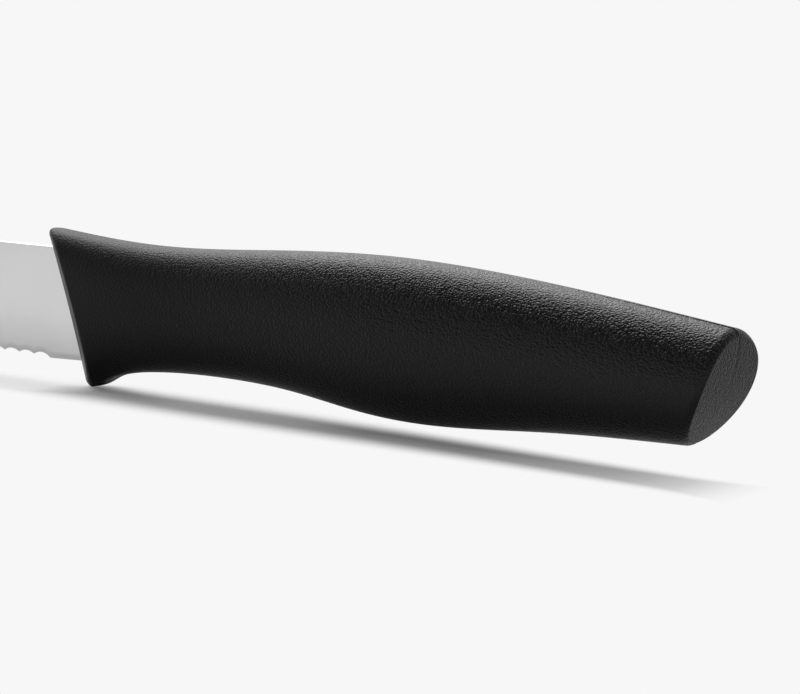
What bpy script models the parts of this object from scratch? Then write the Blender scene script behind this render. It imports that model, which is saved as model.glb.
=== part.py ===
"""Cheese knife with a moulded handle, in metres, standing on its guard with the cutting edge down.

The blade and its tang are one stamping of steel sheet. The handle is moulded round the tang, and its
plastic runs through the tang's holes as plugs, which is what keeps the two together.
X runs from the forked tip (-X) to the butt (+X), Z runs up to the spine, and the blade's middle
plane is Y = 0. A place is a distance back from the top corner of the handle's front, negative along
the blade, and a height is measured up from the lowest point of the guard.
"""

import math

import bmesh
import bpy
import numpy as np

MM = 0.001

# Handle: (place, height) along its top and its bottom, and (place, half width) at mid height
TOP_LINE = (
    (-0.84 * MM, 21.15 * MM),
    (9.0 * MM, 20.4 * MM),
    (22.0 * MM, 20.01 * MM),
    (40.0 * MM, 20.8 * MM),
    (58.0 * MM, 21.45 * MM),
    (84.0 * MM, 20.1 * MM),
    (110.0 * MM, 17.15 * MM),
)
BOTTOM_LINE = (
    (6.52 * MM, 0.0 * MM),
    (10.0 * MM, 1.44 * MM),
    (13.5 * MM, 2.41 * MM),
    (20.0 * MM, 3.3 * MM),
    (33.0 * MM, 3.8 * MM),
    (46.0 * MM, 3.25 * MM),
    (57.0 * MM, 1.95 * MM),
    (66.0 * MM, 1.55 * MM),
    (85.0 * MM, 2.7 * MM),
    (104.3 * MM, 3.5 * MM),
)
HALF_WIDTHS = (
    (0.0 * MM, 4.6 * MM),
    (5.0 * MM, 4.8 * MM),
    (14.0 * MM, 5.15 * MM),
    (30.0 * MM, 5.7 * MM),
    (58.0 * MM, 6.7 * MM),
    (85.0 * MM, 6.4 * MM),
    (110.0 * MM, 5.5 * MM),
)
FRONT_HOLLOW = 0.25 * MM
PROW = 6.5 * MM
PROW_NOSE = 0.1
BUTT_BULGE = 1.5 * MM
FRONT_FILLET = 1.4 * MM
BUTT_FILLET = 0.6 * MM

# How square a section of the handle is: 2 is an ellipse. MIDDLE_AT is a share of the handle's length.
FRONT_SQUARENESS = 2.4
MIDDLE_SQUARENESS = 2.2
BUTT_SQUARENESS = 2.0
MIDDLE_AT = 0.4

# How fast the ends' hollow, prow and bulge fade along the handle
FRONT_FADE = 8
BUTT_FADE = 6

# Blade. Its ricasso is the short plain edge next to the handle.
BLADE_REACH = 105.0 * MM
BLADE_THICKNESS = 1.2 * MM
EDGE_THICKNESS = 0.3 * MM
EDGE_HEIGHT = 3.3 * MM
BLADE_DEPTH = 15.3 * MM
GRIND_DEPTH = 5.0 * MM
RICASSO_FRONT = -0.95 * MM
RICASSO_END = 6.0 * MM
RICASSO_DROP = 0.25 * MM
SCALLOP_PITCH = 3.05 * MM
SCALLOP_DEPTH = 0.4 * MM
FIRST_SCALLOP_EXTRA = 0.35 * MM
PLAIN_POINT = 10.0 * MM

# Forked tip
FORK_ANGLE = math.radians(40.0)
FORK_RISE = 4.8 * MM
FORK_SPAN = 6.0 * MM
FORK_SETBACK = 2.0 * MM
FORK_DEPTH = 8.5 * MM
NOTCH_RADIUS = 1.2 * MM
PRONG_TIP = 0.5 * MM

# Tang and the plugs that lock the handle to it
HEEL_LENGTH = 11.0 * MM
TANG_LENGTH = 82.0 * MM
TANG_DEPTH = 9.0 * MM
TANG_BOTTOM = 7.5 * MM
TANG_SHOULDER = 1.0 * MM
PLUG_COUNT = 3
PLUG_MARGIN = 11.0 * MM
HOLE_RADIUS = 2.5 * MM
MOULDING_GAP = 0.3 * MM

# How far the guides that cut reach past what they cut; MOUTH_OVERRUN is a share of the notch's side
SLOT_OVERRUN = 6.0 * MM
MOUTH_OVERRUN = 0.5
CUTTER_HALF_WIDTH = 4.0 * MM

# Colours, as linear light
STEEL = (0.56, 0.56, 0.56)
BLACK_PLASTIC = (0.016, 0.016, 0.017)

# How finely the curved surfaces are divided
RINGS = 36
RING_POINTS = 40
RING_CROWDING = 1.3
FILLET_STEPS = 4
SCALLOP_STEPS = 4
ROUND_STEPS = 10
HOLE_SIDES = 32
SHARP_ANGLE = math.radians(35)

HANDLE_LENGTH = TOP_LINE[-1][0]
SPINE_HEIGHT = EDGE_HEIGHT + BLADE_DEPTH
FRONT_X = (BLADE_REACH - HANDLE_LENGTH) / 2
SCALLOPS_FRONT = RICASSO_FRONT - FIRST_SCALLOP_EXTRA

# The fork's corners as (place, height), and the arcs that lift the spine and the edge to them
FORK_TOP = SPINE_HEIGHT + FORK_RISE
LOWER_TIP = (
    -BLADE_REACH,
    FORK_TOP - FORK_SPAN * math.cos(FORK_ANGLE) + FORK_SETBACK * math.sin(FORK_ANGLE),
)
UPPER_TIP = (
    LOWER_TIP[0] + FORK_SPAN * math.sin(FORK_ANGLE) + FORK_SETBACK * math.cos(FORK_ANGLE),
    FORK_TOP,
)
SPINE_ARC = FORK_RISE / (1 - math.cos(FORK_ANGLE))
EDGE_ARC = (LOWER_TIP[1] - EDGE_HEIGHT) / (1 - math.cos(FORK_ANGLE))
SPINE_ARC_START = UPPER_TIP[0] + SPINE_ARC * math.sin(FORK_ANGLE)
EDGE_ARC_START = LOWER_TIP[0] + EDGE_ARC * math.sin(FORK_ANGLE)


def spline(stations, places):
    """The natural cubic spline through (place, value) stations, read at the given places."""
    knots, values = np.array(stations).T
    gaps = np.diff(knots)
    slopes = np.diff(values) / gaps
    system = np.eye(len(knots))
    change = np.zeros(len(knots))
    for i in range(1, len(knots) - 1):
        system[i, i - 1 : i + 2] = gaps[i - 1], 2 * (gaps[i - 1] + gaps[i]), gaps[i]
        change[i] = 6 * (slopes[i] - slopes[i - 1])
    bend = np.linalg.solve(system, change)
    i = np.clip(np.searchsorted(knots, places) - 1, 0, len(gaps) - 1)
    before = places - knots[i]
    after = knots[i + 1] - places
    cubic = (bend[i] * after**3 + bend[i + 1] * before**3) / (6 * gaps[i])
    low = (values[i] / gaps[i] - bend[i] * gaps[i] / 6) * after
    high = (values[i + 1] / gaps[i] - bend[i + 1] * gaps[i] / 6) * before
    return cubic + low + high


def signed_power(value, power):
    return np.sign(value) * np.abs(value) ** power


def section(squareness):
    """How far across and how far up each point of a section is, from -1 to 1, from its lowest point."""
    turn = np.linspace(-math.pi / 2, 1.5 * math.pi, RING_POINTS, endpoint=False)
    return (
        signed_power(np.cos(turn), 2 / squareness),
        signed_power(np.sin(turn), 2 / squareness),
    )


def half_width(share):
    """Half the handle's width at a share of the way from its front to its butt."""
    front = (TOP_LINE[0][0] + BOTTOM_LINE[0][0]) / 2
    butt = (TOP_LINE[-1][0] + BOTTOM_LINE[-1][0]) / 2
    return float(spline(HALF_WIDTHS, np.array(front + share * (butt - front))))


def prow(across):
    """How far the front stands back beside the blade, where it is like a boat's prow seen from above."""
    return PROW * (np.hypot(across, PROW_NOSE) - PROW_NOSE)


def handle_ring(share, inset=0.0, push=0.0):
    """The points of one section of the handle, at a share of the way from its front to its butt.

    The section leans with the ends, follows their hollow, prow and bulge, and is drawn in by inset and
    moved along by push where it belongs to an end fillet.
    """
    top_place = TOP_LINE[0][0] + share * (TOP_LINE[-1][0] - TOP_LINE[0][0])
    bottom_place = BOTTOM_LINE[0][0] + share * (BOTTOM_LINE[-1][0] - BOTTOM_LINE[0][0])
    top = spline(TOP_LINE, np.array(top_place))
    bottom = spline(BOTTOM_LINE, np.array(bottom_place))
    width = half_width(share)
    squareness_values = (FRONT_SQUARENESS, MIDDLE_SQUARENESS, BUTT_SQUARENESS)
    squareness = np.interp(share, (0.0, MIDDLE_AT, 1.0), squareness_values)
    across, up = section(squareness)
    half_height = math.hypot(top - bottom, top_place - bottom_place) / 2
    rise = 0.5 + 0.5 * up * (1 - inset / half_height)
    bow = 4 * rise * (1 - rise)
    place = bottom_place + (top_place - bottom_place) * rise + push
    place += (1 - share) ** FRONT_FADE * (FRONT_HOLLOW * bow + prow(across))
    place += share**BUTT_FADE * BUTT_BULGE * bow
    return np.stack((place, across * (width - inset), bottom + (top - bottom) * rise), axis=1)


def handle_rings():
    """Every section in order: the front fillet, the body, and the butt fillet.

    The front fillet turns less at the sides than at the top and bottom, because the prow leans back.
    """
    across = section(FRONT_SQUARENESS)[0]
    lean = PROW / half_width(0.0) * across**2 / np.hypot(across, PROW_NOSE)
    whole_turn = np.arctan2(1.0, lean)
    reach = FRONT_FILLET * np.tan(whole_turn / 2)
    rings = []
    for step in range(FILLET_STEPS):
        angle = (1 - step / FILLET_STEPS) * whole_turn
        inset = FRONT_FILLET * (1 - np.cos(angle))
        rings.append(handle_ring(0.0, inset, reach - FRONT_FILLET * np.sin(angle)))
    for step in range(RINGS):
        share = (step / (RINGS - 1)) ** RING_CROWDING
        rings.append(handle_ring(share, 0.0, reach * (1 - share) - BUTT_FILLET * share))
    for step in range(1, FILLET_STEPS + 1):
        angle = step / FILLET_STEPS * math.pi / 2
        inset = BUTT_FILLET * (1 - math.cos(angle))
        rings.append(handle_ring(1.0, inset, BUTT_FILLET * (math.sin(angle) - 1)))
    return rings


def to_world(points):
    """Places measured from the handle's front become X, with the origin under the middle of the knife."""
    return np.array(points) + (FRONT_X, 0.0, 0.0)


def link_mesh(name, build):
    """A new object whose mesh the function build makes in a bmesh."""
    mesh = bpy.data.meshes.new(name)
    work = bmesh.new()
    build(work)
    bmesh.ops.recalc_face_normals(work, faces=work.faces)
    work.to_mesh(mesh)
    work.free()
    made = bpy.data.objects.new(name, mesh)
    bpy.context.scene.collection.objects.link(made)
    return made


def join_rings(work, rings):
    """Vertices for each ring and the band of faces between each ring and the next."""
    loops = [[work.verts.new(point) for point in ring] for ring in rings]
    for first, second in zip(loops, loops[1:]):
        for i in range(len(first)):
            j = (i + 1) % len(first)
            work.faces.new((first[i], first[j], second[j], second[i]))
    return loops


def close_across(work, loop, forward=None):
    """Closes a ring with strips across the knife, from each point to its mirror by a vertex half way.

    The ring starts at its lowest point. The middle vertices stand forward by the given function of how
    far to the side their neighbours are.
    """
    half = len(loop) // 2
    right = loop[: half + 1]
    left = [loop[0]] + loop[:half - 1:-1]
    middle = [right[0]]
    for vertex in right[1:-1]:
        step = forward(vertex.co.y) if forward else 0.0
        middle.append(work.verts.new((vertex.co.x - step, 0.0, vertex.co.z)))
    middle.append(right[-1])
    for side in (right, left):
        for i in range(half):
            corners = dict.fromkeys((side[i], side[i + 1], middle[i + 1], middle[i]))
            work.faces.new(list(corners))


def extruded(name, outline, half_thickness):
    """A plate whose outline is a list of (x, z) points and whose faces lie at Y = plus and minus half."""

    def build(work):
        join = [[(x, side * half_thickness, z) for x, z in outline] for side in (-1, 1)]
        loops = join_rings(work, join)
        for loop in loops:
            work.faces.new(loop)

    return link_mesh(name, build)


def add_cylinder(name, place, height, radius, half_length):
    """A cylinder along Y."""
    turns = np.linspace(0, 2 * math.pi, HOLE_SIDES, endpoint=False)
    outline = [(place + radius * math.cos(a), height + radius * math.sin(a)) for a in turns]
    return extruded(name, outline, half_length)


def cut(target, cutter):
    """Subtracts the cutter, which stays in the file as a hidden guide."""
    cutter.hide_render = True
    cutter.display_type = "WIRE"
    boolean = target.modifiers.new("cut_" + cutter.name, "BOOLEAN")
    boolean.operation = "DIFFERENCE"
    boolean.solver = "EXACT"
    boolean.object = cutter


def finish(target, colour, metallic, roughness):
    """Gives the piece its own material and smooth shading with sharp edges kept."""
    material = bpy.data.materials.new(target.name)
    material.use_nodes = True
    shader = material.node_tree.nodes["Principled BSDF"]
    shader.inputs["Base Color"].default_value = (*colour, 1.0)
    shader.inputs["Metallic"].default_value = metallic
    shader.inputs["Roughness"].default_value = roughness
    target.data.materials.append(material)
    target.data.shade_smooth()
    target.data.set_sharp_from_angle(angle=SHARP_ANGLE)


def arc_height(place, start, radius):
    """How far an arc that leaves a level line at start, towards the tip, has climbed at a place."""
    run = np.clip(start - place, 0.0, radius)
    return radius - math.sqrt(radius**2 - run**2)


def spine_height(place):
    """The top of the blade: level, then the upsweep, then straight down from prong to prong."""
    if place >= UPPER_TIP[0]:
        return SPINE_HEIGHT + arc_height(place, SPINE_ARC_START, SPINE_ARC)
    share = (place - LOWER_TIP[0]) / (UPPER_TIP[0] - LOWER_TIP[0])
    return LOWER_TIP[1] + PRONG_TIP + share * (UPPER_TIP[1] - LOWER_TIP[1] - PRONG_TIP)


def edge_point(distance, depth):
    """A point on the cutting edge, by its distance along the edge and its depth into the blade."""
    straight = SCALLOPS_FRONT - EDGE_ARC_START
    if distance <= straight:
        return (SCALLOPS_FRONT - distance, EDGE_HEIGHT + depth)
    angle = (distance - straight) / EDGE_ARC
    radius = EDGE_ARC - depth
    height = EDGE_HEIGHT + EDGE_ARC - radius * math.cos(angle)
    return (EDGE_ARC_START - radius * math.sin(angle), height)


def edge_outline():
    """The blade's lower edge from the tip back to the heel: plain point, scallops, ricasso."""
    length = SCALLOPS_FRONT - EDGE_ARC_START + EDGE_ARC * FORK_ANGLE
    scallops = int((length - PLAIN_POINT) / SCALLOP_PITCH)
    points = [(HEEL_LENGTH, EDGE_HEIGHT), (RICASSO_END, EDGE_HEIGHT)]
    points.append((RICASSO_FRONT, EDGE_HEIGHT - RICASSO_DROP))
    for scallop in range(scallops):
        for step in range(1, SCALLOP_STEPS + 1):
            share = step / SCALLOP_STEPS
            depth = SCALLOP_DEPTH * 4 * share * (1 - share)
            points.append(edge_point((scallop + share) * SCALLOP_PITCH, depth))
    plain = np.linspace(scallops * SCALLOP_PITCH, length, ROUND_STEPS)
    points += [edge_point(distance, 0.0) for distance in plain[1:]]
    return points[::-1]


def tang_rows():
    """(place, bottom, top) along the tang, from its shoulders to its round end."""
    top = TANG_BOTTOM + TANG_DEPTH
    radius = TANG_DEPTH / 2
    rows = [(HEEL_LENGTH + TANG_SHOULDER, TANG_BOTTOM, top)]
    for step in range(ROUND_STEPS):
        angle = step / ROUND_STEPS * math.pi / 2
        half = radius * math.cos(angle)
        middle = TANG_BOTTOM + radius
        rows.append((TANG_LENGTH - radius + radius * math.sin(angle), middle - half, middle + half))
    return rows


def blade_ring(place, bottom, top):
    """One upright slice of the blade: flat sides above, and the grind that thins it to the edge."""
    half = BLADE_THICKNESS / 2
    full = np.interp(place, (RICASSO_END, HEEL_LENGTH), (EDGE_THICKNESS / 2, half))
    grind = bottom + min(GRIND_DEPTH, (top - bottom) / 2)
    right = [(place, -full, bottom), (place, -half, grind), (place, -half, top)]
    left = [(place, half, top), (place, half, grind), (place, full, bottom)]
    return right + left


def build_blade():
    edge = edge_outline()
    places = {place for place, height in edge}
    places |= {UPPER_TIP[0], SPINE_ARC_START}
    places |= set(np.linspace(UPPER_TIP[0], SPINE_ARC_START, ROUND_STEPS))
    known, heights = zip(*edge)
    rows = []
    for place in sorted(places):
        rows.append((place, float(np.interp(place, known, heights)), spine_height(place)))
    rows += tang_rows()

    def build(work):
        loops = join_rings(work, [to_world(blade_ring(*row)) for row in rows])
        work.faces.new(loops[0])
        work.faces.new(loops[-1])

    return link_mesh("blade", build)


def notch_outline():
    """The gap between the prongs: a round root, opening past the inner corners of both tips."""
    along = np.array((-math.cos(FORK_ANGLE), math.sin(FORK_ANGLE)))
    upward = np.array((math.sin(FORK_ANGLE), math.cos(FORK_ANGLE)))
    lower = np.array(LOWER_TIP) + (0.0, PRONG_TIP)
    upper = np.array(UPPER_TIP)
    upper -= PRONG_TIP * (upper - lower) / np.linalg.norm(upper - lower)
    root = (lower + upper) / 2 - (FORK_DEPTH - NOTCH_RADIUS) * along
    turns = np.linspace(-math.pi / 2, math.pi / 2, ROUND_STEPS + 1)
    arc = [root + NOTCH_RADIUS * (math.sin(a) * upward - math.cos(a) * along) for a in turns]
    for corner, end in ((upper, arc[-1]), (lower, arc[0])):
        arc.append(corner + (corner - end) * MOUTH_OVERRUN)
    return arc


def pocket_outline():
    """What the handle is moulded round, wider by the moulding gap and open at the front."""
    gap = MOULDING_GAP
    low, high = TANG_BOTTOM - gap, TANG_BOTTOM + TANG_DEPTH + gap
    radius = (high - low) / 2
    heel = HEEL_LENGTH + gap
    front = -SLOT_OVERRUN
    points = [(front, EDGE_HEIGHT - RICASSO_DROP - gap), (heel, EDGE_HEIGHT - RICASSO_DROP - gap)]
    points.append((heel + TANG_SHOULDER, low))
    centre = TANG_LENGTH - TANG_DEPTH / 2
    for angle in np.linspace(-math.pi / 2, math.pi / 2, 2 * ROUND_STEPS + 1):
        points.append((centre + radius * math.cos(angle), (low + high) / 2 + radius * math.sin(angle)))
    points.append((heel + TANG_SHOULDER, high))
    points += [(heel, SPINE_HEIGHT + gap), (front, SPINE_HEIGHT + gap)]
    return points


def build_handle():
    def build(work):
        loops = join_rings(work, [to_world(ring) for ring in handle_rings()])
        close_across(work, loops[0], lambda side: prow(side / half_width(0.0)))
        close_across(work, loops[-1])

    return link_mesh("handle", build)


def moved(outline):
    return [(place + FRONT_X, height) for place, height in outline]


def main():
    for leftover in list(bpy.data.objects):
        bpy.data.objects.remove(leftover)

    blade = build_blade()
    handle = build_handle()
    tang_middle = TANG_BOTTOM + TANG_DEPTH / 2
    pocket = extruded("pocket_cutter", moved(pocket_outline()), BLADE_THICKNESS / 2 + MOULDING_GAP)
    first_plug = HEEL_LENGTH + TANG_SHOULDER + PLUG_MARGIN
    last_plug = TANG_LENGTH - PLUG_MARGIN
    plug_radius = HOLE_RADIUS - MOULDING_GAP
    for number, place in enumerate(np.linspace(first_plug, last_plug, PLUG_COUNT), 1):
        centre = (place + FRONT_X, tang_middle)
        hole = add_cylinder(f"hole_cutter_{number}", *centre, HOLE_RADIUS, CUTTER_HALF_WIDTH)
        plug = add_cylinder(f"plug_guide_{number}", *centre, plug_radius, CUTTER_HALF_WIDTH)
        cut(blade, hole)
        cut(pocket, plug)
    cut(blade, extruded("notch_cutter", moved(notch_outline()), CUTTER_HALF_WIDTH))
    cut(handle, pocket)

    finish(blade, STEEL, 1.0, 0.35)
    finish(handle, BLACK_PLASTIC, 0.0, 0.55)


main()
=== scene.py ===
"""Cheese knife: fine surfaces, finishes, floor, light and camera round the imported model.

Lengths are in metres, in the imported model's frame: X runs from the forked tip (-X) to the butt (+X), Z
runs up from the floor to the spine, and the blade's middle plane is Y = 0. A place is a distance back
from the top corner of the handle's front, negative along the blade.
"""

import math

import bmesh
import bpy
import numpy as np
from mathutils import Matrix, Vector


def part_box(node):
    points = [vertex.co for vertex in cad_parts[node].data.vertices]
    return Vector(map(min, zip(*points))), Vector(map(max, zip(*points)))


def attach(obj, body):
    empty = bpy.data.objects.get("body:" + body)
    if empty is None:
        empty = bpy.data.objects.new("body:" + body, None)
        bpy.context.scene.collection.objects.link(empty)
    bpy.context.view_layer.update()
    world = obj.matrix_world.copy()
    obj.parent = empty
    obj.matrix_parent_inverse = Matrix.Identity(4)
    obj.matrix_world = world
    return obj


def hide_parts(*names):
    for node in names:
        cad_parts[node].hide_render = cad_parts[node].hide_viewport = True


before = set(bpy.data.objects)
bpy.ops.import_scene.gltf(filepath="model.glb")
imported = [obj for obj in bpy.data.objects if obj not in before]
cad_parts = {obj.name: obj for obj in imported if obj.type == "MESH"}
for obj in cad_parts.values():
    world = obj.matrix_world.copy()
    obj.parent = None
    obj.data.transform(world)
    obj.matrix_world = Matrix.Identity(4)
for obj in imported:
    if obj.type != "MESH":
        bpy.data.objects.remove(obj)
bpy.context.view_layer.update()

MM = 0.001

# Handle: (place, height) along its top and its bottom, and (place, half width) at mid height
TOP_LINE = (
    (-0.84 * MM, 21.15 * MM),
    (9.0 * MM, 20.4 * MM),
    (22.0 * MM, 20.01 * MM),
    (40.0 * MM, 20.8 * MM),
    (58.0 * MM, 21.45 * MM),
    (84.0 * MM, 20.1 * MM),
    (110.0 * MM, 17.15 * MM),
)
BOTTOM_LINE = (
    (6.52 * MM, 0.0 * MM),
    (10.0 * MM, 1.44 * MM),
    (13.5 * MM, 2.41 * MM),
    (20.0 * MM, 3.3 * MM),
    (33.0 * MM, 3.8 * MM),
    (46.0 * MM, 3.25 * MM),
    (57.0 * MM, 1.95 * MM),
    (66.0 * MM, 1.55 * MM),
    (85.0 * MM, 2.7 * MM),
    (104.3 * MM, 3.5 * MM),
)
HALF_WIDTHS = (
    (0.0 * MM, 4.6 * MM),
    (5.0 * MM, 4.8 * MM),
    (14.0 * MM, 5.15 * MM),
    (30.0 * MM, 5.7 * MM),
    (58.0 * MM, 6.7 * MM),
    (85.0 * MM, 6.4 * MM),
    (110.0 * MM, 5.5 * MM),
)
FRONT_HOLLOW = 0.25 * MM
PROW = 6.5 * MM
PROW_NOSE = 0.1
BUTT_BULGE = 1.45 * MM
FRONT_FILLET = 1.4 * MM
BUTT_FILLET = 1.3 * MM
BUTT_TURN = math.radians(45)
BUTT_TOP_TURN = math.radians(80)
BUTT_TOP_FADE = 3
SQUARENESSES = (2.4, 2.2, 2.0)
SQUARENESS_AT = (0.0, 0.4, 1.0)
FRONT_FADE = 8
BUTT_FADE = 6
CLEARANCE = 0.0006

# The mould's parting line: how far each side of the middle plane, how proud by the butt, how deep on it
PARTING_HALF_WIDTHS = (0.06 * MM, 0.12 * MM)
PARTING_HEIGHT = 0.09 * MM
PARTING_FADE = 4
PARTING_DEPTH = 0.02 * MM
PARTING_HEIGHTS = (8.0 * MM, 13.0 * MM)

# Blade, with its edge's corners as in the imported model. The ricasso is the plain edge by the handle.
BLADE_LOW, BLADE_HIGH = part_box("blade")
HALF_SHEET = BLADE_HIGH.y
BLADE_REACH = 105.0 * MM
FRONT_X = BLADE_LOW.x + BLADE_REACH
EDGE_HEIGHT = 3.3 * MM
BLADE_DEPTH = 15.3 * MM
SPINE_HEIGHT = EDGE_HEIGHT + BLADE_DEPTH
HALF_EDGE = 0.1 * MM
GRIND_DEPTH = 5.2 * MM
GRIND_CURVE = 1.1
HALF_BEVEL = 0.2 * MM
BEVEL_HEIGHT = 0.3 * MM
SPINE_ROUND = 0.12 * MM
RICASSO_FRONT = -0.95 * MM
RICASSO_END = 6.0 * MM
RICASSO_DROP = 0.25 * MM
SCALLOP_PITCH = 3.05 * MM
SCALLOP_DEPTH = 0.4 * MM
FIRST_SCALLOP_EXTRA = 0.35 * MM
SCALLOPS_FRONT = RICASSO_FRONT - FIRST_SCALLOP_EXTRA
PLAIN_POINT = 10.0 * MM

# Forked tip
FORK_ANGLE = math.radians(40.0)
FORK_RISE = 4.8 * MM
FORK_SPAN = 6.0 * MM
FORK_SETBACK = 2.0 * MM
FORK_DEPTH = 8.5 * MM
NOTCH_RADIUS = 1.2 * MM
PRONG_TIP = 0.5 * MM
FORK_TOP = SPINE_HEIGHT + FORK_RISE
LOWER_TIP = (
    -BLADE_REACH,
    FORK_TOP - FORK_SPAN * math.cos(FORK_ANGLE) + FORK_SETBACK * math.sin(FORK_ANGLE),
)
UPPER_TIP = (
    LOWER_TIP[0] + FORK_SPAN * math.sin(FORK_ANGLE) + FORK_SETBACK * math.cos(FORK_ANGLE),
    FORK_TOP,
)
SPINE_ARC = FORK_RISE / (1 - math.cos(FORK_ANGLE))
EDGE_ARC = (LOWER_TIP[1] - EDGE_HEIGHT) / (1 - math.cos(FORK_ANGLE))
SPINE_ARC_START = UPPER_TIP[0] + SPINE_ARC * math.sin(FORK_ANGLE)
EDGE_ARC_START = LOWER_TIP[0] + EDGE_ARC * math.sin(FORK_ANGLE)

# Tang, its holes, and the plastic that fills them with hardly a gap
HEEL_LENGTH = 11.0 * MM
TANG_LENGTH = 82.0 * MM
TANG_DEPTH = 9.0 * MM
TANG_BOTTOM = 7.5 * MM
TANG_SHOULDER = 1.0 * MM
HOLE_COUNT = 3
HOLE_MARGIN = 11.0 * MM
FIRST_HOLE = HEEL_LENGTH + TANG_SHOULDER + HOLE_MARGIN
HOLE_PLACES = np.linspace(FIRST_HOLE, TANG_LENGTH - HOLE_MARGIN, HOLE_COUNT)
HOLE_RADIUS = 2.5 * MM
FIT_GAP = 0.02 * MM

# The plastic: its colour, its grain's bumps to a metre, how much fewer they are along X, how smoothly
# they join, their depth, and how much smaller and how deep the finer grain is
PLASTIC_COLOUR = 0.002
GRAIN_SCALE = 4300
GRAIN_STRETCH = 0.72
GRAIN_SMOOTHNESS = 0.6
GRAIN_DEPTH = 0.095 * MM
FINE_RATIO = 2.4
FINE_DEPTH = 0.02 * MM

# How the plastic's finish changes from the blade's end to the butt's
GRAIN_PLACES = (5.0 * MM, 62.0 * MM)
GRAIN_STRENGTHS = (0.5, 1.0)
ROUGHNESSES = (0.45, 0.33)
SHEEN_PLACES = (25.0 * MM, 95.0 * MM)
SHEENS = (0.1, 0.21)

# The front face is smoother: where its normal's X ends it, and its shares of grain and roughness
FACE_NORMALS = (-0.35, -0.6)
FACE_GRAIN = 0.25
FACE_ROUGHNESS = 0.8

# Painted shade: the underside's sheen is cut, standing in for the shaded floor it reflects. Where its
# normal's Z ends the side, and its share of sheen
UNDER_NORMALS = (0.15, -0.5)
UNDER_SHADE_SHEEN = 0.55

# The steel: its colour, its grinding lines to a metre, how much longer than wide and how deep they are,
# its blotches to a metre, the part of their noise that counts, and the shiniest and dullest roughness
STEEL_COLOUR = 0.66
LINE_SCALE = 5200
LINE_STRETCH = 0.04
LINE_DEPTH = 0.0012 * MM
BLOTCH_SCALE = 160
BLOTCH_RANGE = (0.3, 0.7)
POLISH = (0.27, 0.34)

# How finely things are divided
BODY_RINGS = 340
RING_CROWDING = 1.3
RING_POINTS = 200
FILLET_STEPS = 8
CAP_STEPS = 12
SCALLOP_STEPS = 12
GRIND_STEPS = 8
ROUND_STEPS = 24
HOLE_SIDES = 64
SHARP_ANGLE = math.radians(35)
MERGE_DISTANCE = 0.0005 * MM

# Camera and floor
CAMERA_AZIMUTH = math.radians(40.0)
CAMERA_ELEVATION = math.radians(8.44)
CAMERA_DISTANCE = 299.75 * MM
CAMERA_LENS = 111.25
SENSOR_WIDTH = 36.0
CLIP_START = 0.01
CAMERA_TARGET = Vector((59.36 * MM, 0.0, 10.53 * MM))
FLOOR_COLOUR = 0.93
FLOOR_HALF_SIZE = 30.0

# The shadow that shows, trimmed and lightened by painted pale floor colour: its middle line, where the
# painted pale fades in sideways, and (place, share of painted light laid over the shadow)
SHADOW_PLACES = (45.0 * MM, 104.0 * MM)
SHADOW_YS = (-3.3 * MM, -4.3 * MM)
SHADOW_CORE = 1.0 * MM
SHADOW_REACHES = (8.5 * MM, 5.5 * MM)
SHADOW_PAINTED_LIFTS = (
    (3.0 * MM, 0.62),
    (6.0 * MM, 0.35),
    (11.0 * MM, 0.0),
    (19.0 * MM, 0.0),
    (28.0 * MM, 0.06),
    (48.0 * MM, 0.05),
    (58.0 * MM, 0.0),
    (76.0 * MM, 0.0),
    (88.0 * MM, 0.1),
    (96.0 * MM, 0.17),
    (106.0 * MM, 0.37),
    (111.5 * MM, 0.8),
    (115.0 * MM, 1.0),
)

# Light, as shares of what falls on the floor. The key lamps' sides are in degrees.
AMBIENT = 0.5
RIM = 0.27
KEY_BACK = math.radians(20)
KEY_ANGLE = math.radians(45)
KEY_SIDES = (-58.0, -20.0, 20.0)
RIM_AIM = (-0.6, 0.47, 0.65)
RIM_ANGLE = math.radians(40)
SKY_HIGH = (0.2, 0.5)
SKY_FRONT = (0.3, -0.1)
SKY_RIGHT = (0.0, 0.25)
SKY_DIM = 0.2


def spline(stations, places):
    """The natural cubic spline through (place, value) stations, read at the given places."""
    knots, values = np.array(stations).T
    gaps = np.diff(knots)
    slopes = np.diff(values) / gaps
    system = np.eye(len(knots))
    change = np.zeros(len(knots))
    for i in range(1, len(knots) - 1):
        system[i, i - 1 : i + 2] = gaps[i - 1], 2 * (gaps[i - 1] + gaps[i]), gaps[i]
        change[i] = 6 * (slopes[i] - slopes[i - 1])
    bend = np.linalg.solve(system, change)
    i = np.clip(np.searchsorted(knots, places) - 1, 0, len(gaps) - 1)
    before = places - knots[i]
    after = knots[i + 1] - places
    cubic = (bend[i] * after**3 + bend[i + 1] * before**3) / (6 * gaps[i])
    low = (values[i] / gaps[i] - bend[i] * gaps[i] / 6) * after
    high = (values[i + 1] / gaps[i] - bend[i + 1] * gaps[i] / 6) * before
    return cubic + low + high


def signed_power(value, power):
    return np.sign(value) * np.abs(value) ** power


def mapped(value, start, end):
    """How far a value is from start to end, as a share."""
    return (value - start) / (end - start)


def ring_turns(width, squareness):
    """Turns round a section from its lowest point, with extra ones beside the parting line."""
    even = np.linspace(-math.pi / 2, 1.5 * math.pi, RING_POINTS, endpoint=False)
    quarter = math.pi / 2
    beside = np.arcsin((np.array(PARTING_HALF_WIDTHS) / width) ** (squareness / 2))
    extra = (quarter - beside, quarter + beside, beside - quarter, 3 * quarter - beside)
    return np.sort(np.concatenate((even, *extra)))


def parting(across):
    """The parting line's share of its full height, 1 at the middle plane and 0 beside the line."""
    return 1 - np.clip(mapped(np.abs(across), *PARTING_HALF_WIDTHS), 0.0, 1.0)


def half_width(share):
    """Half the handle's width at a share of the way from its front to its butt."""
    front = (TOP_LINE[0][0] + BOTTOM_LINE[0][0]) / 2
    butt = (TOP_LINE[-1][0] + BOTTOM_LINE[-1][0]) / 2
    return float(spline(HALF_WIDTHS, np.array(front + share * (butt - front)))) * (1 - CLEARANCE)


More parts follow.
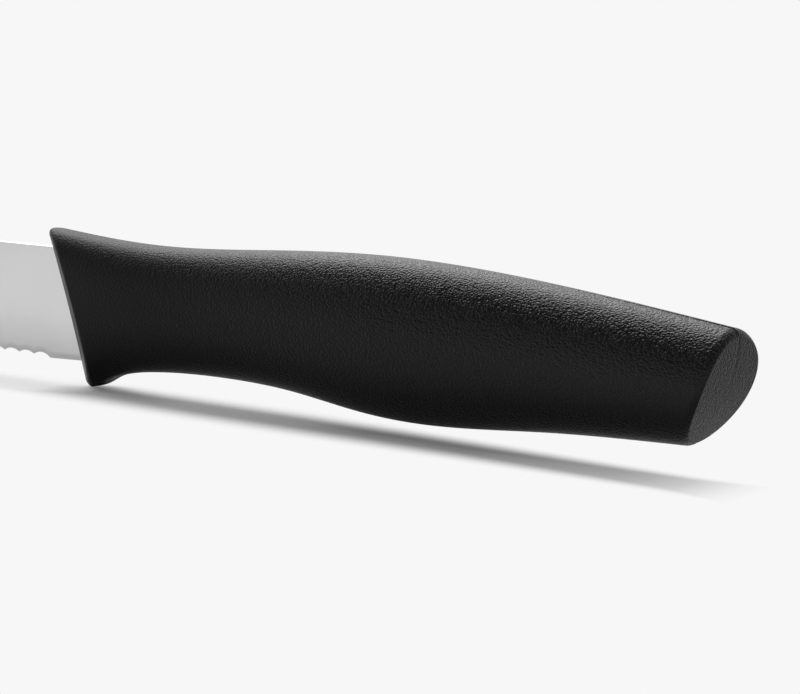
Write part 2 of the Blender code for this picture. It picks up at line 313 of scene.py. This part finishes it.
def prow(across):
    """How far the front stands back beside the blade, where it is like a boat's prow seen from above."""
    return PROW * (np.hypot(across, PROW_NOSE) - PROW_NOSE)


def handle_ring(share, inset=0.0, push=0.0):
    """The points of one section of the handle, at a share of the way from its front to its butt."""
    top_place = TOP_LINE[0][0] + share * (TOP_LINE[-1][0] - TOP_LINE[0][0])
    bottom_place = BOTTOM_LINE[0][0] + share * (BOTTOM_LINE[-1][0] - BOTTOM_LINE[0][0])
    top = spline(TOP_LINE, np.array(top_place))
    bottom = spline(BOTTOM_LINE, np.array(bottom_place))
    width = half_width(share)
    squareness = np.interp(share, SQUARENESS_AT, SQUARENESSES)
    turn = ring_turns(width - np.max(inset), squareness)
    across = signed_power(np.cos(turn), 2 / squareness)
    up = signed_power(np.sin(turn), 2 / squareness)
    side = across * (width - inset)
    half_height = math.hypot(top - bottom, top_place - bottom_place) / 2
    proud = PARTING_HEIGHT * share**PARTING_FADE * parting(side)
    rise = 0.5 + 0.5 * up * (1 - (inset - proud) / half_height)
    bow = 4 * rise * (1 - rise)
    place = bottom_place + (top_place - bottom_place) * rise + push
    place += (1 - share) ** FRONT_FADE * (FRONT_HOLLOW * bow + prow(across))
    place += share**BUTT_FADE * BUTT_BULGE * bow
    return np.stack((place, side, bottom + (top - bottom) * rise), axis=1)


def body_rings():
    """Sections from the front fillet's inner edge to the butt fillet, which stops short at a crisp rim.

    The front fillet turns less at the sides than at the top and bottom, because the prow leans back. The
    butt fillet turns most at the top.
    """
    turn = ring_turns(half_width(1.0), SQUARENESSES[2])
    upward = np.clip(np.sin(turn), 0.0, 1.0) ** BUTT_TOP_FADE
    butt_turn = BUTT_TURN + (BUTT_TOP_TURN - BUTT_TURN) * upward
    butt_depth = BUTT_FILLET * np.sin(butt_turn)
    turn = ring_turns(half_width(0.0), SQUARENESSES[0])
    across = signed_power(np.cos(turn), 2 / SQUARENESSES[0])
    lean = PROW / half_width(0.0) * across**2 / np.hypot(across, PROW_NOSE)
    whole_turn = np.arctan2(1.0, lean)
    reach = FRONT_FILLET * np.tan(whole_turn / 2)
    rings = []
    for step in range(FILLET_STEPS):
        angle = (1 - step / FILLET_STEPS) * whole_turn
        inset = FRONT_FILLET * (1 - np.cos(angle))
        rings.append(handle_ring(0.0, inset, reach - FRONT_FILLET * np.sin(angle)))
    for step in range(BODY_RINGS):
        share = (step / (BODY_RINGS - 1)) ** RING_CROWDING
        rings.append(handle_ring(share, 0.0, reach * (1 - share) - butt_depth * share))
    for step in range(1, FILLET_STEPS + 1):
        angle = step / FILLET_STEPS * butt_turn
        inset = BUTT_FILLET * (1 - np.cos(angle))
        rings.append(handle_ring(1.0, inset, BUTT_FILLET * np.sin(angle) - butt_depth))
    return rings


def butt_rings(rim):
    """The butt's face, drawn in to the middle plane, with the parting line's groove down its top half."""
    widest = np.abs(rim[:, 1]).max()
    depth = PARTING_DEPTH * np.clip(mapped(rim[:, 2], *PARTING_HEIGHTS), 0.0, 1.0)
    limits = list(np.linspace(widest, PARTING_HALF_WIDTHS[1], CAP_STEPS))[1:]
    rings = []
    for limit in limits + [PARTING_HALF_WIDTHS[0], 0.0]:
        ring = rim.copy()
        ring[:, 1] = np.clip(rim[:, 1], -limit, limit)
        ring[:, 0] -= depth * parting(ring[:, 1])
        rings.append(ring)
    return rings


def slot_ring(low, high):
    """(y, z) points of an upright slot round the sheet, one for each point of a section."""
    turn = ring_turns(half_width(0.0), SQUARENESSES[0])
    across, up = np.cos(turn), np.sin(turn)
    reach = np.maximum(np.abs(across), np.abs(up))
    side = across / reach * (HALF_SHEET + FIT_GAP)
    return side, (low + high) / 2 + up / reach * (high - low) / 2


def front_place(side, height):
    """Where the handle's front face stands, by how far across the knife and how high."""
    rise = height / TOP_LINE[0][1]
    line = BOTTOM_LINE[0][0] + rise * (TOP_LINE[0][0] - BOTTOM_LINE[0][0])
    return line + 4 * FRONT_HOLLOW * rise * (1 - rise) + prow(side / half_width(0.0))


def front_rings(rim):
    """From deep in the pocket out to its mouth, then over the front face to its rim."""
    rings = []
    for place, low, high in tang_rows()[::-1]:
        side, height = slot_ring(low - FIT_GAP, high + FIT_GAP)
        rings.append(np.stack((np.full(len(side), place + FIT_GAP), side, height), axis=1))
    low = EDGE_HEIGHT - RICASSO_DROP - FIT_GAP
    side, height = slot_ring(low, SPINE_HEIGHT + FIT_GAP)
    rings.append(np.stack((np.full(len(side), HEEL_LENGTH + FIT_GAP), side, height), axis=1))
    mouth = np.stack((front_place(side, height), side, height), axis=1)
    for step in range(CAP_STEPS):
        share = step / CAP_STEPS
        ring = mouth + (rim - mouth) * share
        ring[:, 0] = front_place(ring[:, 1], ring[:, 2])
        rings.append(ring)
    return rings


def finish_mesh(name, work):
    """An object from a bmesh, smooth with its sharp edges kept."""
    bmesh.ops.recalc_face_normals(work, faces=work.faces)
    mesh = bpy.data.meshes.new(name)
    work.to_mesh(mesh)
    work.free()
    mesh.shade_smooth()
    mesh.set_sharp_from_angle(angle=SHARP_ANGLE)
    made = bpy.data.objects.new(name, mesh)
    bpy.context.scene.collection.objects.link(made)
    return made


def add_loft(work, rings, ends):
    """A surface through rings of equally many points, with the given ends (0 or -1) filled."""
    loops = []
    for ring in rings:
        loops.append([work.verts.new((point[0] + FRONT_X, point[1], point[2])) for point in ring])
    for first, second in zip(loops, loops[1:]):
        for i in range(len(first)):
            j = (i + 1) % len(first)
            work.faces.new((first[i], first[j], second[j], second[i]))
    for end in ends:
        work.faces.new(loops[end])


def cylinder_rings(place, height, radius, half_length):
    turns = np.linspace(0, 2 * math.pi, HOLE_SIDES, endpoint=False)
    x, z = place + radius * np.cos(turns), height + radius * np.sin(turns)
    return [np.stack((x, np.full(HOLE_SIDES, side * half_length), z), axis=1) for side in (-1, 1)]


def build_handle():
    body = body_rings()
    work = bmesh.new()
    add_loft(work, front_rings(body[0]) + body + butt_rings(body[-1]), (0,))
    for place in HOLE_PLACES:
        height = TANG_BOTTOM + TANG_DEPTH / 2
        add_loft(work, cylinder_rings(place, height, HOLE_RADIUS - FIT_GAP, 2 * HALF_SHEET), (0, -1))
    bmesh.ops.remove_doubles(work, verts=work.verts, dist=MERGE_DISTANCE)
    return finish_mesh("handle_skin", work)


def arc_height(place, start, radius):
    """How far an arc that leaves a level line at start, towards the tip, has climbed at a place."""
    run = np.clip(start - place, 0.0, radius)
    return radius - np.sqrt(radius**2 - run**2)


def spine_height(place):
    """The top of the blade: level, then the upsweep, then straight down from prong to prong."""
    if place >= UPPER_TIP[0]:
        return SPINE_HEIGHT + arc_height(place, SPINE_ARC_START, SPINE_ARC)
    share = mapped(place, LOWER_TIP[0], UPPER_TIP[0])
    return LOWER_TIP[1] + PRONG_TIP + share * (UPPER_TIP[1] - LOWER_TIP[1] - PRONG_TIP)


def edge_point(distance, depth):
    """A point on the cutting edge, by its distance along the edge and its depth into the blade."""
    straight = SCALLOPS_FRONT - EDGE_ARC_START
    if distance <= straight:
        return (SCALLOPS_FRONT - distance, EDGE_HEIGHT + depth)
    angle = (distance - straight) / EDGE_ARC
    radius = EDGE_ARC - depth
    height = EDGE_HEIGHT + EDGE_ARC - radius * math.cos(angle)
    return (EDGE_ARC_START - radius * math.sin(angle), height)


def edge_outline():
    """The blade's lower edge from the tip back to the heel: plain point, scallops, ricasso."""
    length = SCALLOPS_FRONT - EDGE_ARC_START + EDGE_ARC * FORK_ANGLE
    scallops = int((length - PLAIN_POINT) / SCALLOP_PITCH)
    points = [(HEEL_LENGTH, EDGE_HEIGHT), (RICASSO_END, EDGE_HEIGHT)]
    points.append((RICASSO_FRONT, EDGE_HEIGHT - RICASSO_DROP))
    for scallop in range(scallops):
        for step in range(1, SCALLOP_STEPS + 1):
            share = step / SCALLOP_STEPS
            depth = SCALLOP_DEPTH * 4 * share * (1 - share)
            points.append(edge_point((scallop + share) * SCALLOP_PITCH, depth))
    plain = np.linspace(scallops * SCALLOP_PITCH, length, ROUND_STEPS)
    points += [edge_point(distance, 0.0) for distance in plain[1:]]
    return points[::-1]


def tang_rows():
    """(place, bottom, top) along the tang, from its shoulders to its round end."""
    top = TANG_BOTTOM + TANG_DEPTH
    radius = TANG_DEPTH / 2
    rows = [(HEEL_LENGTH + TANG_SHOULDER, TANG_BOTTOM, top)]
    for step in range(ROUND_STEPS):
        angle = step / ROUND_STEPS * math.pi / 2
        half = radius * math.cos(angle)
        middle = TANG_BOTTOM + radius
        rows.append((TANG_LENGTH - radius + radius * math.sin(angle), middle - half, middle + half))
    return rows


def blade_ring(place, bottom, top):
    """One upright slice of the blade: thin edge, its fine bevel, curved grind, flat side, round spine."""
    ground = np.interp(place, (RICASSO_END, HEEL_LENGTH), (1.0, 0.0))
    half_height = (top - bottom) / 2
    grind = min(GRIND_DEPTH, half_height - BEVEL_HEIGHT)
    points = [(HALF_SHEET - ground * (HALF_SHEET - HALF_EDGE), bottom)]
    for step in range(GRIND_STEPS + 1):
        share = step / GRIND_STEPS
        thin = ground * (HALF_SHEET - HALF_BEVEL) * (1 - share) ** GRIND_CURVE
        points.append((HALF_SHEET - thin, bottom + BEVEL_HEIGHT * ground + share * grind))
    rounding = min(SPINE_ROUND, half_height / 4)
    for angle in (0.0, math.pi / 4, math.pi / 2):
        side = HALF_SHEET - rounding * (1 - math.cos(angle))
        points.append((side, top - rounding * (1 - math.sin(angle))))
    near = [(place, -side, height) for side, height in points]
    far = [(place, side, height) for side, height in points]
    return near + far[::-1]


def notch_rings():
    """The gap between the prongs: a round root, opening past the inner corners of both tips."""
    along = np.array((-math.cos(FORK_ANGLE), math.sin(FORK_ANGLE)))
    upward = np.array((math.sin(FORK_ANGLE), math.cos(FORK_ANGLE)))
    lower = np.array(LOWER_TIP) + (0.0, PRONG_TIP)
    upper = np.array(UPPER_TIP)
    upper -= PRONG_TIP * (upper - lower) / np.linalg.norm(upper - lower)
    root = (lower + upper) / 2 - (FORK_DEPTH - NOTCH_RADIUS) * along
    turns = np.linspace(-math.pi / 2, math.pi / 2, ROUND_STEPS + 1)
    arc = [root + NOTCH_RADIUS * (math.sin(a) * upward - math.cos(a) * along) for a in turns]
    for corner, end in ((upper, arc[-1]), (lower, arc[0])):
        arc.append(corner + (corner - end) / 2)
    return [[(x, side * 4 * HALF_SHEET, z) for x, z in arc] for side in (-1, 1)]


def cut(target, rings):
    """Subtracts the plate between two rings, and keeps only the result."""
    work = bmesh.new()
    add_loft(work, rings, (0, -1))
    cutter = finish_mesh("cutter", work)
    boolean = target.modifiers.new("cut", "BOOLEAN")
    boolean.operation = "DIFFERENCE"
    boolean.solver = "EXACT"
    boolean.object = cutter
    bpy.context.view_layer.update()
    evaluated = target.evaluated_get(bpy.context.evaluated_depsgraph_get())
    mesh = bpy.data.meshes.new_from_object(evaluated)
    target.modifiers.remove(boolean)
    target.data = mesh
    bpy.data.objects.remove(cutter)


def build_blade():
    edge = edge_outline()
    known, heights = zip(*edge)
    places = set(known) | {UPPER_TIP[0], SPINE_ARC_START}
    places |= set(np.linspace(UPPER_TIP[0], SPINE_ARC_START, ROUND_STEPS))
    rows = []
    for place in sorted(places):
        rows.append((place, float(np.interp(place, known, heights)), spine_height(place)))
    work = bmesh.new()
    add_loft(work, [blade_ring(*row) for row in rows + tang_rows()], (0, -1))
    blade = finish_mesh("blade_skin", work)
    for place in HOLE_PLACES:
        cut(blade, cylinder_rings(place, TANG_BOTTOM + TANG_DEPTH / 2, HOLE_RADIUS, 4 * HALF_SHEET))
    cut(blade, notch_rings())
    blade.data.shade_smooth()
    blade.data.set_sharp_from_angle(angle=SHARP_ANGLE)
    return blade


def link_nodes(tree, *chain):
    """Links (node, output, node, input)."""
    for source, output, target, entry in chain:
        tree.links.new(source.outputs[output], target.inputs[entry])


def along_x(tree, split, places, values):
    """A node that goes evenly from the first value to the second between two places along X."""
    node = tree.nodes.new("ShaderNodeMapRange")
    for entry, place in zip(("From Min", "From Max"), places):
        node.inputs[entry].default_value = FRONT_X + place
    for entry, value in zip(("To Min", "To Max"), values):
        node.inputs[entry].default_value = value
    tree.links.new(split.outputs["X"], node.inputs["Value"])
    return node


def stations_along_x(tree, split, stations):
    """A node whose output follows (place, value) stations along X, and stays level past both ends."""
    places, values = zip(*stations)
    span = along_x(tree, split, (places[0], places[-1]), (0.0, 1.0))
    node = tree.nodes.new("ShaderNodeValToRGB")
    elements = node.color_ramp.elements
    for place in places[1:-1]:
        elements.new(mapped(place, places[0], places[-1]))
    for element, value in zip(elements, values):
        element.color = (value, value, value, 1.0)
    tree.links.new(span.outputs[0], node.inputs[0])
    return node


def black_plastic():
    """Low-sheen plastic with a spark-eroded grain, shallower and duller towards the blade, and with
    painted shade on its underside, where its sheen is cut.
    """
    material = bpy.data.materials.new("black_plastic_grain")
    material.use_nodes = True
    tree = material.node_tree
    shader = tree.nodes["Principled BSDF"]
    black = (PLASTIC_COLOUR, PLASTIC_COLOUR, PLASTIC_COLOUR, 1.0)
    shader.inputs["Base Color"].default_value = black
    place = tree.nodes.new("ShaderNodeTexCoord")
    split = tree.nodes.new("ShaderNodeSeparateXYZ")
    tree.links.new(place.outputs["Object"], split.inputs[0])
    depth = along_x(tree, split, GRAIN_PLACES, GRAIN_STRENGTHS)
    roughness = along_x(tree, split, GRAIN_PLACES, ROUGHNESSES)
    sheen = along_x(tree, split, SHEEN_PLACES, SHEENS)
    geometry = tree.nodes.new("ShaderNodeNewGeometry")
    facing = tree.nodes.new("ShaderNodeSeparateXYZ")
    tree.links.new(geometry.outputs["Normal"], facing.inputs[0])
    shares = []
    # The last row paints shade on the underside by cutting its sheen where the normal points down
    for whole, axis, normals, share in (
        (depth, "X", FACE_NORMALS, FACE_GRAIN),
        (roughness, "X", FACE_NORMALS, FACE_ROUGHNESS),
        (sheen, "Z", UNDER_NORMALS, UNDER_SHADE_SHEEN),
    ):
        kept = fade(tree, facing, axis, *normals)
        kept.inputs["To Min"].default_value = 1.0
        kept.inputs["To Max"].default_value = share
        shares.append(maths(tree, "MULTIPLY", (whole, 0), (kept, 0)))
    grain_share, dull_share, shine_and_painted_shade_share = shares
    stretch = tree.nodes.new("ShaderNodeMapping")
    stretch.inputs["Scale"].default_value = (GRAIN_STRETCH, 1.0, 1.0)
    grain = tree.nodes.new("ShaderNodeTexVoronoi")
    grain.feature = "SMOOTH_F1"
    grain.inputs["Scale"].default_value = GRAIN_SCALE
    grain.inputs["Smoothness"].default_value = GRAIN_SMOOTHNESS
    fine = tree.nodes.new("ShaderNodeTexNoise")
    fine.inputs["Scale"].default_value = FINE_RATIO * GRAIN_SCALE
    fine.inputs["Detail"].default_value = 0.0
    fine_bump = tree.nodes.new("ShaderNodeBump")
    fine_bump.inputs["Distance"].default_value = FINE_DEPTH
    bump = tree.nodes.new("ShaderNodeBump")
    bump.inputs["Distance"].default_value = GRAIN_DEPTH
    bump.invert = True
    link_nodes(
        tree,
        (shine_and_painted_shade_share, 0, shader, "Specular IOR Level"),
        (grain_share, 0, bump, "Strength"),
        (dull_share, 0, shader, "Roughness"),
        (place, "Object", stretch, "Vector"),
        (stretch, "Vector", grain, "Vector"),
        (grain, "Distance", bump, "Height"),
        (stretch, "Vector", fine, "Vector"),
        (fine, "Fac", fine_bump, "Height"),
        (fine_bump, "Normal", bump, "Normal"),
        (bump, "Normal", shader, "Normal"),
    )
    return material


def steel():
    """Satin steel with fine upright grinding lines and slight blotches in its polish."""
    material = bpy.data.materials.new("satin_steel")
    material.use_nodes = True
    tree = material.node_tree
    shader = tree.nodes["Principled BSDF"]
    shader.inputs["Base Color"].default_value = (STEEL_COLOUR, STEEL_COLOUR, STEEL_COLOUR, 1.0)
    shader.inputs["Metallic"].default_value = 1.0
    place = tree.nodes.new("ShaderNodeTexCoord")
    stretch = tree.nodes.new("ShaderNodeMapping")
    stretch.inputs["Scale"].default_value = (1.0, 1.0, LINE_STRETCH)
    lines = tree.nodes.new("ShaderNodeTexNoise")
    lines.inputs["Scale"].default_value = LINE_SCALE
    lines.inputs["Detail"].default_value = 2.0
    bump = tree.nodes.new("ShaderNodeBump")
    bump.inputs["Distance"].default_value = LINE_DEPTH
    blotches = tree.nodes.new("ShaderNodeTexNoise")
    blotches.inputs["Scale"].default_value = BLOTCH_SCALE
    polish = tree.nodes.new("ShaderNodeMapRange")
    for entry, value in zip(("From Min", "From Max", "To Min", "To Max"), BLOTCH_RANGE + POLISH):
        polish.inputs[entry].default_value = value
    link_nodes(
        tree,
        (place, "Object", stretch, "Vector"),
        (stretch, "Vector", lines, "Vector"),
        (lines, "Fac", bump, "Height"),
        (bump, "Normal", shader, "Normal"),
        (place, "Object", blotches, "Vector"),
        (blotches, "Fac", polish, "Value"),
        (polish, 0, shader, "Roughness"),
    )
    return material


def fade(tree, source, output, start, end):
    """A node that goes smoothly from 0 to 1 as its input goes from start to end."""
    node = tree.nodes.new("ShaderNodeMapRange")
    node.interpolation_type = "SMOOTHSTEP"
    node.inputs["From Min"].default_value = start
    node.inputs["From Max"].default_value = end
    tree.links.new(source.outputs[output], node.inputs["Value"])
    return node


def maths(tree, operation, *entries):
    """A maths node whose inputs are numbers or (node, output) pairs."""
    node = tree.nodes.new("ShaderNodeMath")
    node.operation = operation
    for number, entry in enumerate(entries):
        if isinstance(entry, tuple):
            tree.links.new(entry[0].outputs[entry[1]], node.inputs[number])
        else:
            node.inputs[number].default_value = entry
    return node


def seen_rays(tree):
    """A node that is 1 for camera, glossy and transmission rays, and 0 for light on surfaces."""
    path = tree.nodes.new("ShaderNodeLightPath")
    two = maths(tree, "MAXIMUM", (path, "Is Camera Ray"), (path, "Is Glossy Ray"))
    return maths(tree, "MAXIMUM", (two, 0), (path, "Is Transmission Ray"))


def make_floor():
    """A pale floor that takes the knife's shadow. For the camera, painted pale emission covers the
    shadow's sides and lightens it at listed places along the knife; away from the shadow it shows plain.
    """
    bpy.ops.mesh.primitive_plane_add(size=2 * FLOOR_HALF_SIZE)
    floor = bpy.context.object
    floor.name = "floor"
    material = bpy.data.materials.new("floor")
    material.use_nodes = True
    tree = material.node_tree
    shader = tree.nodes["Principled BSDF"]
    shader.inputs["Base Color"].default_value = (FLOOR_COLOUR, FLOOR_COLOUR, FLOOR_COLOUR, 1.0)
    shader.inputs["Roughness"].default_value = 1.0
    shader.inputs["Specular IOR Level"].default_value = 0.0
    # Painted light: this pale emission is laid over the floor's real shadow, beyond the shadow's core and
    # at the listed places
    plain = tree.nodes.new("ShaderNodeEmission")
    plain.inputs["Color"].default_value = (FLOOR_COLOUR, FLOOR_COLOUR, FLOOR_COLOUR, 1.0)
    place = tree.nodes.new("ShaderNodeNewGeometry")
    split = tree.nodes.new("ShaderNodeSeparateXYZ")
    tree.links.new(place.outputs["Position"], split.inputs[0])
    middle = along_x(tree, split, SHADOW_PLACES, SHADOW_YS)
    reach = along_x(tree, split, SHADOW_PLACES, SHADOW_REACHES)
    offset = maths(tree, "SUBTRACT", (split, "Y"), (middle, 0))
    aside = maths(tree, "ABSOLUTE", (offset, 0))
    sideways_paint = fade(tree, aside, 0, SHADOW_CORE, 0.0)
    tree.links.new(reach.outputs[0], sideways_paint.inputs["From Max"])
    painted_lift = stations_along_x(tree, split, SHADOW_PAINTED_LIFTS)
    painted_pale_share = maths(tree, "MAXIMUM", (sideways_paint, 0), (painted_lift, 0))
    # Only camera rays see the painted light; reflections see the floor's real shadow
    path = tree.nodes.new("ShaderNodeLightPath")
    share = maths(tree, "MULTIPLY", (painted_pale_share, 0), (path, "Is Camera Ray"))
    mix = tree.nodes.new("ShaderNodeMixShader")
    link_nodes(
        tree,
        (share, 0, mix, 0),
        (shader, 0, mix, 1),
        (plain, 0, mix, 2),
        (mix, 0, tree.nodes["Material Output"], 0),
    )
    floor.data.materials.append(material)


def add_sun(name, aim, share, angle):
    data = bpy.data.lights.new(name, "SUN")
    data.energy = math.pi * share
    data.angle = angle
    lamp = bpy.data.objects.new(name, data)
    lamp.rotation_mode = "QUATERNION"
    lamp.rotation_quaternion = aim.to_track_quat("Z", "Y")
    bpy.context.scene.collection.objects.link(lamp)


def make_light():
    """Soft lamps far away: a row tilted back, one behind to the left, and a dim world that shows pale."""
    aims = []
    for side in KEY_SIDES:
        across = math.radians(side)
        level = math.cos(across)
        aims.append(
            Vector((math.sin(across), level * math.sin(KEY_BACK), level * math.cos(KEY_BACK)))
        )
    total = sum(aim.z for aim in aims)
    for number, aim in enumerate(aims, 1):
        add_sun(f"key_{number}", aim, (1 - AMBIENT - RIM) / total, KEY_ANGLE)
    rim = Vector(RIM_AIM).normalized()
    add_sun("rim", rim, RIM / rim.z, RIM_ANGLE)

    world = bpy.data.worlds.new("studio")
    world.use_nodes = True
    bpy.context.scene.world = world
    tree = world.node_tree
    tree.nodes.clear()
    output = tree.nodes.new("ShaderNodeOutputWorld")
    dim = tree.nodes.new("ShaderNodeBackground")
    dim.inputs["Color"].default_value = (1.0, 1.0, 1.0, 1.0)
    dim.inputs["Strength"].default_value = AMBIENT
    pale = tree.nodes.new("ShaderNodeBackground")
    pale.inputs["Strength"].default_value = FLOOR_COLOUR
    place = tree.nodes.new("ShaderNodeTexCoord")
    split = tree.nodes.new("ShaderNodeSeparateXYZ")
    tree.links.new(place.outputs["Generated"], split.inputs[0])
    high = fade(tree, split, "Z", *SKY_HIGH)
    front = fade(tree, split, "Y", *SKY_FRONT)
    right = fade(tree, split, "X", *SKY_RIGHT)
    side = maths(tree, "MAXIMUM", (front, 0), (right, 0))
    both = maths(tree, "MULTIPLY", (high, 0), (side, 0))
    level = tree.nodes.new("ShaderNodeMapRange")
    level.inputs["To Min"].default_value = 1.0
    level.inputs["To Max"].default_value = SKY_DIM
    mix = tree.nodes.new("ShaderNodeMixShader")
    link_nodes(
        tree,
        (both, 0, level, "Value"),
        (level, 0, pale, "Color"),
        (seen_rays(tree), 0, mix, 0),
        (dim, 0, mix, 1),
        (pale, 0, mix, 2),
        (mix, 0, output, 0),
    )


def make_camera():
    level = math.cos(CAMERA_ELEVATION)
    back = Vector(
        (
            math.sin(CAMERA_AZIMUTH) * level,
            -math.cos(CAMERA_AZIMUTH) * level,
            math.sin(CAMERA_ELEVATION),
        )
    )
    data = bpy.data.cameras.new("camera")
    data.sensor_fit = "HORIZONTAL"
    data.sensor_width = SENSOR_WIDTH
    data.lens = CAMERA_LENS
    data.clip_start = CLIP_START
    camera = bpy.data.objects.new("camera", data)
    camera.location = CAMERA_TARGET + back * CAMERA_DISTANCE
    camera.rotation_mode = "QUATERNION"
    camera.rotation_quaternion = (-back).to_track_quat("-Z", "Y")
    bpy.context.scene.collection.objects.link(camera)
    bpy.context.scene.camera = camera


def dress(skin, node, material):
    """Puts a fine piece in the place of a packed one."""
    skin.data.materials.clear()
    skin.data.materials.append(material)
    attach(skin, "root")
    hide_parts(node)


make_camera()
make_floor()
make_light()
dress(build_handle(), "handle", black_plastic())
dress(build_blade(), "blade", steel())
bpy.context.scene.view_settings.view_transform = "Standard"
